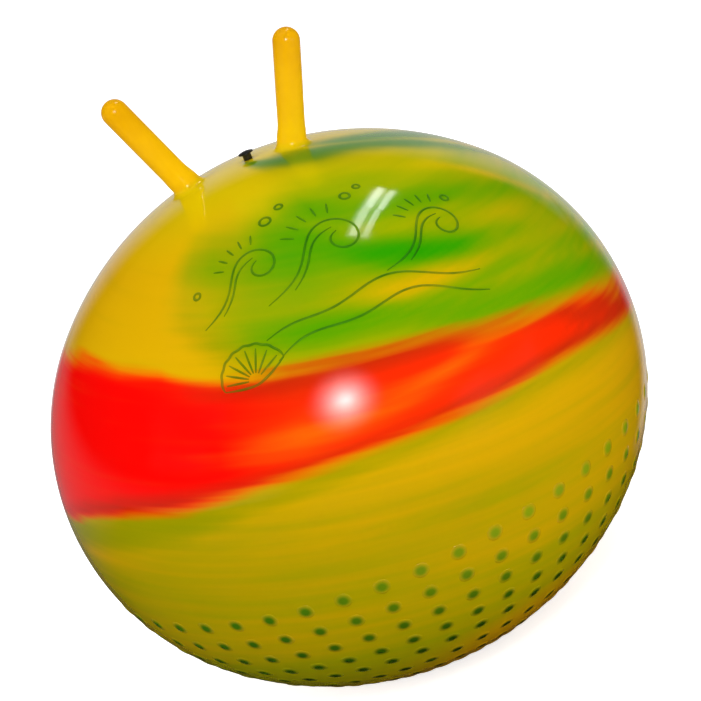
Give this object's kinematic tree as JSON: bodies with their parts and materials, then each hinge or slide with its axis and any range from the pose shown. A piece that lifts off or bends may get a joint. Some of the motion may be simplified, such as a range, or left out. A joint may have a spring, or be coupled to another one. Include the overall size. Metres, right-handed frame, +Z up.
{
  "type": "hopper ball",
  "caption": "Blown-up vinyl bouncing ball, wider than tall, with a pair of horns to hold, a push-in stopper between them and rows of grip nubs around its lower half.",
  "frame": {"origin": "on the floor, in the middle of the flat foot", "axes": "+Z up through the middle of the ball, X along the pair of horns with the right horn at +X, and the side that the picture shows at -Y"},
  "size_m": [0.55, 0.5498, 0.5889],
  "materials": {
    "skin": "glossy soft vinyl, yellow with streaks of green and red",
    "horn": "glossy soft vinyl, plain yellow",
    "nub": "soft vinyl, dark green",
    "plug": "black soft stopper"
  },
  "bodies": {
    "ball": {"ball_skin": "skin", "grip_nubs_1": "nub", "grip_nubs_2": "nub", "grip_nubs_3": "nub", "grip_nubs_4": "nub", "grip_nubs_5": "nub", "grip_nubs_6": "nub", "grip_nubs_7": "nub", "grip_nubs_8": "nub"},
    "crown": {"horn_root_left": "horn", "horn_root_right": "horn", "valve_boss": "skin"},
    "horn_left": {"horn_left": "horn"},
    "horn_right": {"horn_right": "horn"},
    "plug": {"valve_plug": "plug"}
  },
  "joints": [
    {"name": "ball_squash", "type": "slide", "parent": "ball", "child": "crown", "axis": [0, 0, 1], "range_m": [-0.07, 0], "stiffness_N_per_m": 5000, "deforming": ["ball_skin", "grip_nubs_1", "grip_nubs_2", "grip_nubs_3", "grip_nubs_4", "grip_nubs_5", "grip_nubs_6", "grip_nubs_7", "grip_nubs_8"]},
    {"name": "horn_left_bend", "type": "hinge", "parent": "crown", "child": "horn_left", "pos_m": [-0.05342, 0, 0.49791], "axis": [1, 0, 0], "range_deg": [-25, 25], "stiffness_Nm_per_rad": 2, "deforming": ["horn_root_left"]},
    {"name": "horn_right_bend", "type": "hinge", "parent": "crown", "child": "horn_right", "pos_m": [0.05342, 0, 0.49791], "axis": [1, 0, 0], "range_deg": [-25, 25], "stiffness_Nm_per_rad": 2, "deforming": ["horn_root_right"]},
    {"name": "plug_slide", "type": "slide", "parent": "crown", "child": "plug", "axis": [0, 0, 1], "range_m": [-0.0048, 0.05]}
  ]
}
